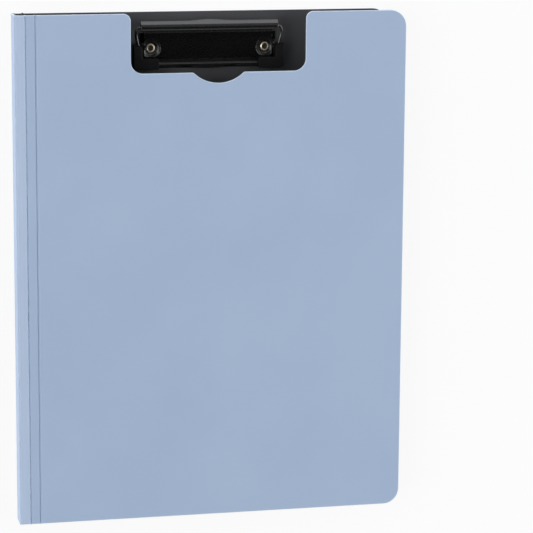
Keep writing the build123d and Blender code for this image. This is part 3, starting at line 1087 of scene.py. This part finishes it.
def grip_top(v):
    """Top of a corner grip: a rear ledge, a level back and a nose that slopes down."""
    height = GRIP_CREST - 1.2 * smooth((v - 19.5) / 10.0)
    return height - GRIP_LEDGE_DROP * (1 - smooth((v - GRIP_LEDGE) / GRIP_LEDGE_STEP))


def grip_low(v):
    """Underside of a corner grip, which sinks towards the jaw."""
    return 0.9 - 0.6 * smooth((v - GRIP_REAR) / 5.0)


def corner_grip(side):
    """Moulded rubber corner over one end of the jaw, L-shaped in plan."""
    outline = arc((GRIP_OUTER - 2.2, GRIP_FRONT - 2.2), 2.2, 0, 90, 8)
    outline += arc((GRIP_INNER + 0.7, GRIP_FRONT - 0.7), 0.7, 90, 180, 4)
    outline += arc((GRIP_INNER + 0.7, GRIP_FOOT_REAR + 0.7), 0.7, 180, 270, 4)
    outline += arc((GRIP_FOOT - 0.6, GRIP_FOOT_REAR - 0.6), 0.6, 90, 0, 4)
    outline += arc((GRIP_FOOT + 0.5, GRIP_REAR + 0.5), 0.5, 180, 270, 4)
    outline += arc((GRIP_OUTER - 0.8, GRIP_REAR + 0.8), 0.8, 270, 360, 4)
    bm = prism(outline, GRIP_HEIGHT, 0)
    top = GRIP_HEIGHT - 0.01
    rim = [edge for edge in bm.edges if all(vert.co.z > top for vert in edge.verts)]
    bmesh.ops.bevel(
        bm,
        geom=rim,
        offset=GRIP_EDGE,
        offset_type="OFFSET",
        segments=3,
        profile=0.5,
        affect="EDGES",
    )
    ledge_cuts = spaced(GRIP_LEDGE, GRIP_LEDGE + GRIP_LEDGE_STEP, 0.1)
    cut_along(bm, (0, 1, 0), ledge_cuts + [16, 17, 19, 20, 21, 22.3, 24, 25, 26, 27, 28, 29])
    for vert in bm.verts:
        u, v, z = vert.co
        share = z / GRIP_HEIGHT
        vert.co = (side * u, v, grip_low(v) + share * (grip_top(v) - grip_low(v)))
    return bm


def rivets():
    """Two tubular rivets, turned about their axes from one half section."""
    bm = bmesh.new()
    for side in (-1, 1):
        rings = []
        for radius, height in RIVET_PROFILE:
            if radius == 0:
                rings.append([bm.verts.new((side * RIVET_U, RIVET_V, height))])
                continue
            ring = []
            for part in range(RIVET_SIDES):
                angle = 2 * math.pi * part / RIVET_SIDES
                u = side * RIVET_U + radius * math.cos(angle)
                ring.append(bm.verts.new((u, RIVET_V + radius * math.sin(angle), height)))
            rings.append(ring)
        for ring, following in zip(rings, rings[1:]):
            for index in range(RIVET_SIDES):
                after = (index + 1) % RIVET_SIDES
                if len(ring) == 1:
                    bm.faces.new((ring[0], following[after], following[index]))
                elif len(following) == 1:
                    bm.faces.new((ring[index], ring[after], following[0]))
                else:
                    bm.faces.new((ring[index], ring[after], following[after], following[index]))
    return bm


CLIP_PIECES = {
    "base_plate": (base_plate, DECK_STEEL, "clip_steel", "fixed", 35),
    "rivets": (rivets, RIVET_BRASS, "rivet_brass", "fixed", 50),
    "lever_bar": (lever_bar, CLIP_STEEL, "clip_steel", "rocker", 35),
    "spring_bail": (spring_bail, CLIP_WIRE, "clip_wire", "rocker", 50),
    "jaw_plate": (jaw_plate, CLIP_STEEL, "clip_steel", "rocker", 40),
    "corner_grip_left": (lambda: corner_grip(-1), GRIP_RUBBER, "grip_rubber", "rocker", 50),
    "corner_grip_right": (lambda: corner_grip(1), GRIP_RUBBER, "grip_rubber", "rocker", 50),
}

for clip in CLIPS:
    for piece, (make, material, slot, body, sharp) in CLIP_PIECES.items():
        node = clip + "_" + piece
        made = to_object(make(), node + "_shape", [material], sharp, clip_place(clip))
        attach(made, CLIPS[clip][body])
        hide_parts(node)


# Floor: the camera and reflections see it nearly white, and it keeps the folder's shadow
FLOOR_WHITE = 0.9

floor_material, floor_shader = node_material("pale_floor")
floor_tree = floor_material.node_tree
floor_patches = noise_node(floor_tree, 3.0, 2.0).outputs["Fac"]
floor_colour = colour_between(floor_tree, floor_patches, (0.86, 0.86, 0.86), (0.88, 0.88, 0.88))
floor_tree.links.new(floor_colour, floor_shader.inputs["Base Color"])
floor_shader.inputs["Roughness"].default_value = 0.9
floor_shader.inputs["Specular IOR Level"].default_value = 0.0
glow = floor_tree.nodes.new("ShaderNodeEmission")
glow.inputs["Color"].default_value = (1, 1, 1, 1)
glow.inputs["Strength"].default_value = 1.0
rays = floor_tree.nodes.new("ShaderNodeLightPath").outputs
seen = math_node(floor_tree, "MAXIMUM", rays["Is Camera Ray"], rays["Is Glossy Ray"])
seen = math_node(floor_tree, "MAXIMUM", seen, rays["Is Transmission Ray"])
white_share = math_node(floor_tree, "MULTIPLY", seen, FLOOR_WHITE)
floor_mix = floor_tree.nodes.new("ShaderNodeMixShader")
floor_output = next(node for node in floor_tree.nodes if node.type == "OUTPUT_MATERIAL")
floor_tree.links.new(white_share, floor_mix.inputs["Fac"])
floor_tree.links.new(floor_shader.outputs["BSDF"], floor_mix.inputs[1])
floor_tree.links.new(glow.outputs["Emission"], floor_mix.inputs[2])
floor_tree.links.new(floor_mix.outputs["Shader"], floor_output.inputs["Surface"])

floor_bm = bmesh.new()
bmesh.ops.create_grid(floor_bm, x_segments=8, y_segments=8, size=4.0)
floor_mesh = bpy.data.meshes.new("floor")
floor_bm.to_mesh(floor_mesh)
floor_bm.free()
floor_mesh.materials.append(floor_material)
floor = bpy.data.objects.new("floor", floor_mesh)
floor.location = (0, 0, -0.0002)
bpy.context.scene.collection.objects.link(floor)


# Light
def add_lamp(lamp, direction):
    """Adds a lamp, turned so that its light comes from a direction."""
    lamp.rotation_euler = Vector(direction).to_track_quat("Z", "Y").to_euler()
    bpy.context.scene.collection.objects.link(lamp)


def soft_sun(name, azimuth, elevation, energy, angle):
    """A broad lamp, its azimuth in degrees from the free edge's side towards the top of the page."""
    data = bpy.data.lights.new(name, "SUN")
    data.energy = energy
    data.angle = math.radians(angle)
    across = math.cos(math.radians(elevation))
    turn = math.radians(azimuth)
    direction = (across * math.cos(turn), across * math.sin(turn), math.sin(math.radians(elevation)))
    add_lamp(bpy.data.objects.new(name, data), direction)


soft_sun("right", 0, 28, 1.62, 40)
soft_sun("left", 180, 30, 1.55, 50)
soft_sun("front", 275, 18, 0.15, 60)
soft_sun("glint", 42, 9, 0.5, 16)

strip_data = bpy.data.lights.new("strip", "AREA")
strip_data.shape = "RECTANGLE"
strip_data.size = 0.9
strip_data.size_y = 0.6
strip_data.energy = 1.5
strip_lamp = bpy.data.objects.new("strip", strip_data)
strip_lamp.location = (0.32, 1.42, 0.70)
add_lamp(strip_lamp, strip_lamp.location)

# Studio: white walls up to a third of the way to a dark ceiling, dimmer towards the front
WALL_FOOT = (0.85, 0.87, 0.90, 1)
WALL_TOP = (0.95, 0.97, 1.0, 1)
CEILING = (0.012, 0.012, 0.014, 1)

world = bpy.data.worlds.new("studio")
world.use_nodes = True
world_nodes = world.node_tree.nodes
world_links = world.node_tree.links
sky = world_nodes.new("ShaderNodeTexCoord")
sky_parts = world_nodes.new("ShaderNodeSeparateXYZ")
world_links.new(sky.outputs["Generated"], sky_parts.inputs["Vector"])
sky_ramp = world_nodes.new("ShaderNodeValToRGB")
stops = sky_ramp.color_ramp.elements
stops[0].position = 0.0
stops[0].color = WALL_FOOT
stops[1].position = 0.68
stops[1].color = CEILING
stops.new(0.5).color = WALL_TOP
world_links.new(sky_parts.outputs["Z"], sky_ramp.inputs["Fac"])
front_share = value_between(world.node_tree, sky_parts.outputs["Y"], 0.4, 1.0, start=-0.7, end=0.3)
sky_light = world_nodes.new("ShaderNodeVectorMath")
sky_light.operation = "SCALE"
world_links.new(sky_ramp.outputs["Color"], sky_light.inputs[0])
world_links.new(front_share, sky_light.inputs["Scale"])
background = world_nodes["Background"]
world_links.new(sky_light.outputs["Vector"], background.inputs["Color"])
background.inputs["Strength"].default_value = 1.2
bpy.context.scene.world = world

bpy.context.scene.view_settings.view_transform = "Standard"

# Camera
CAMERA_PLACE = (-0.30492, 0.30403, 1.51218)
CAMERA_TURN = (-11.289, -12.668, 0.381)

camera_data = bpy.data.cameras.new("camera")
camera_data.sensor_width = 36.0
camera_data.lens = 170.62
camera_data.clip_end = 20.0
camera = bpy.data.objects.new("camera", camera_data)
camera.location = CAMERA_PLACE
camera.rotation_euler = Euler([math.radians(angle) for angle in CAMERA_TURN], "XYZ")
bpy.context.scene.collection.objects.link(camera)
bpy.context.scene.camera = camera
